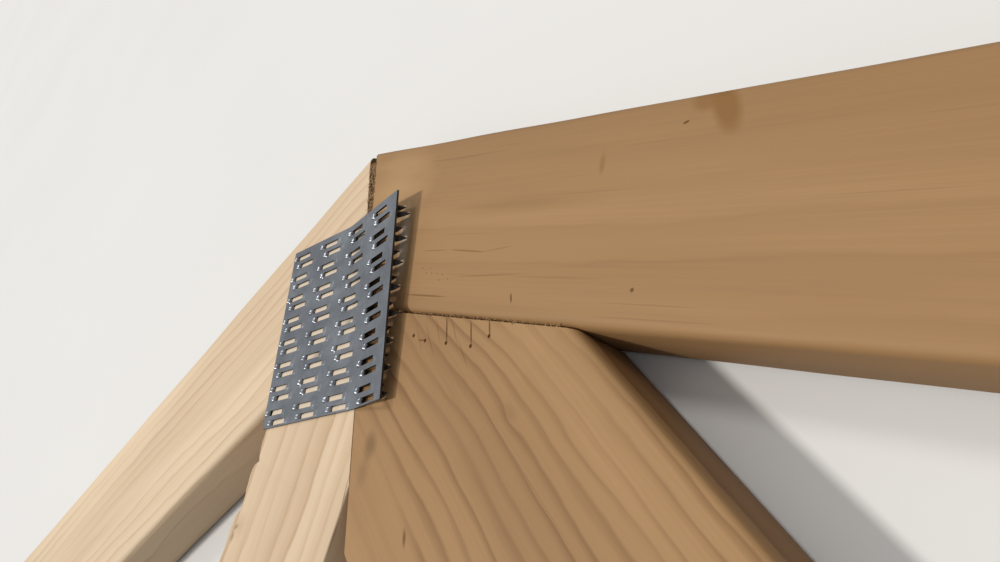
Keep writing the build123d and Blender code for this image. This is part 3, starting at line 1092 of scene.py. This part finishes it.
def dress_flat_plate(node, middle):
    """Puts a punched sheet in the place of a flat nail plate."""
    kind = node.split("_")[1]
    cells = PLATE_CELLS[kind]
    side = 1 if "right" in node else -1
    turn = -side * PITCH if kind in ("heel", "top") else 0.0
    face_out = 1.0 if node.endswith("front") else -1.0
    centre = Vector((middle.x, middle.y, FRONT_Z if face_out > 0 else 0.0))
    place = flat_sheet_point(centre, turn, cells)
    punched_plate(node + "_punched", cells, place, SEATED_TOOTH, [node], face_out)


def dress_plain_timber(number, node, cad, low, high):
    """Gives a timber away from the apex its own wood, with three knots."""
    if node.startswith("bottom_chord"):
        along = (1, 0)
    else:
        leans_left = node in ("web_left_2", "web_left_4", "web_right_3")
        along = ((high.x - low.x) * (-1 if leans_left else 1), high.y - low.y)
    knots = []
    for k in range(3):
        knot_along = (number * 137 + k * 613) % 1500 - 750
        knot_across = (number * 31 + k * 47) % 50 - 25
        knots.append((knot_along, knot_across, 7 + 2 * k, True))
    look = {
        "colours": (CREAM, MID, TAN)[number % 3],
        "pith": (70 + 9 * number, -80),
        "ring": 8.0,
        "seed": number * 1.7,
        "contrast": 0.8,
        "knots": knots,
    }
    cad.data.materials.clear()
    cad.data.materials.append(pine(node + "_pine", (low + high) / 2, along, look))


# The other plates and timbers
for number, (node, cad) in enumerate(sorted(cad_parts.items())):
    if node in apex_timbers or node == "plate_apex_front":
        continue
    low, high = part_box(node)
    if node.startswith("plate"):
        dress_flat_plate(node, (low + high) / 2)
    else:
        dress_plain_timber(number, node, cad, low, high)

# The lifted front plate
punched_plate(
    "plate_apex_front_punched",
    APEX_CELLS,
    bent_sheet_point,
    TOOTH_LENGTH,
    ["plate_apex_front"],
    step=APEX_SHEET_STEP,
)

# Torn fibres in the ridge gap and along the web's joint
splinters(
    "ridge_fibres",
    at_apex(0.2, -8),
    at_apex(0, -60),
    count=900,
    length=2.4 * MM,
    width=0.24 * MM,
    spread=2.3 * MM,
    seed=11,
    out=0.1 * MM,
)
splinters(
    "web_joint_fibres",
    at_apex(8, -101),
    at_apex(120, -147.2),
    count=160,
    length=1.6 * MM,
    width=0.16 * MM,
    spread=0.5 * MM,
    seed=12,
)

# Floor, light and camera
FLOOR_HALF = 60.0
corners = [(x * FLOOR_HALF, y * FLOOR_HALF, 0) for x, y in ((-1, -1), (1, -1), (1, 1), (-1, 1))]
floor_mesh = bpy.data.meshes.new("floor")
floor_mesh.from_pydata(corners, [], [(0, 1, 2, 3)])
floor_mesh.materials.append(pale_floor("pale_floor"))
floor = bpy.data.objects.new("floor", floor_mesh)
bpy.context.scene.collection.objects.link(floor)


def sun_lamp(name, towards, strength, angle, colour):
    """A soft lamp that shines evenly from one direction."""
    lamp = bpy.data.lights.new(name, "SUN")
    lamp.energy = strength
    lamp.angle = angle
    lamp.color = colour
    made = bpy.data.objects.new(name, lamp)
    made.rotation_mode = "QUATERNION"
    made.rotation_quaternion = Vector(towards).to_track_quat("Z", "Y")
    bpy.context.scene.collection.objects.link(made)


sun_lamp("key", (-0.62, -0.20, 1.0), 1.9, radians(6), (1.0, 0.97, 0.92))
sun_lamp("ridge_side", (-0.2, 0.52, 0.83), 0.7, radians(12), (1.0, 0.98, 0.95))
world = bpy.data.worlds.new("studio")
world.use_nodes = True
background = world.node_tree.nodes["Background"]
background.inputs["Color"].default_value = (0.95, 0.97, 1.0, 1)
background.inputs["Strength"].default_value = 0.5
bpy.context.scene.world = world
bpy.context.scene.view_settings.view_transform = "Standard"

# The camera's place and axes, fitted to the timbers' edges in the photograph
camera_data = bpy.data.cameras.new("camera")
camera_data.lens = 26
camera_data.sensor_width = 36
camera_data.clip_start = 0.01
camera_data.clip_end = 500
camera = bpy.data.objects.new("camera", camera_data)
right = Vector((0.7394, -0.0234, -0.6729))
up = Vector((0.3389, 0.8765, 0.3419))
back = Vector((0.5818, -0.4809, 0.6560))
turned = Matrix((right, up, back)).transposed()
eye = at_apex(262.6, -259.1, 193.1)
camera.matrix_world = Matrix.Translation(eye) @ turned.to_4x4()
bpy.context.scene.collection.objects.link(camera)
bpy.context.scene.camera = camera
